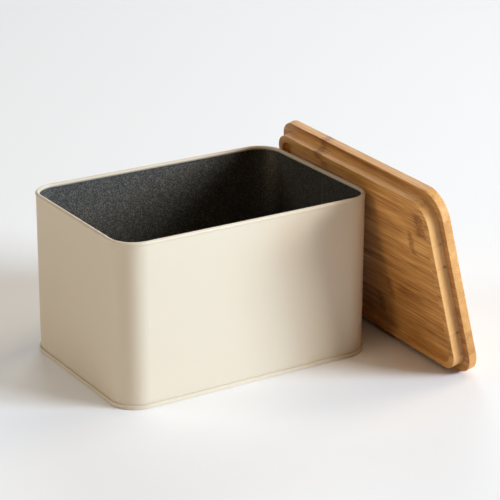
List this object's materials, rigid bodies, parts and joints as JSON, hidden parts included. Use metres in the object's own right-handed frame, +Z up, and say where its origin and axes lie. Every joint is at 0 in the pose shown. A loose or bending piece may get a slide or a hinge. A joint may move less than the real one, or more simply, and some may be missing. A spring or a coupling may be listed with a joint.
{
  "type": "bread box",
  "caption": "Open rectangular sheet-metal bread box with rounded corners, a rolled rim and a seamed base, its glued bamboo lid leaning against its side.",
  "frame": {"origin": "centre of the box's foot ring, on the surface that the box stands on", "axes": "+Z up, +X along the box's length towards the leaning lid, -Y towards the box's front"},
  "size_m": [0.3749, 0.3276, 0.2132],
  "materials": {
    "enamel": "satin cream paint outside and on the bead, speckled matt black inside",
    "bamboo": "oiled bamboo, satin"
  },
  "bodies": {
    "box": {"shell": "enamel", "base_panel": "enamel"},
    "lid": {"lid_plank_1": "bamboo", "lid_plank_2": "bamboo", "lid_plank_3": "bamboo", "lid_plank_4": "bamboo", "lid_plank_5": "bamboo", "lid_plank_6": "bamboo", "lid_plank_7": "bamboo", "lid_plank_8": "bamboo"}
  },
  "joints": [
    {"name": "lid_lift", "type": "slide", "parent": "box", "child": "lid", "axis": [0, 0, 1], "range_m": [0, 0.19]}
  ]
}
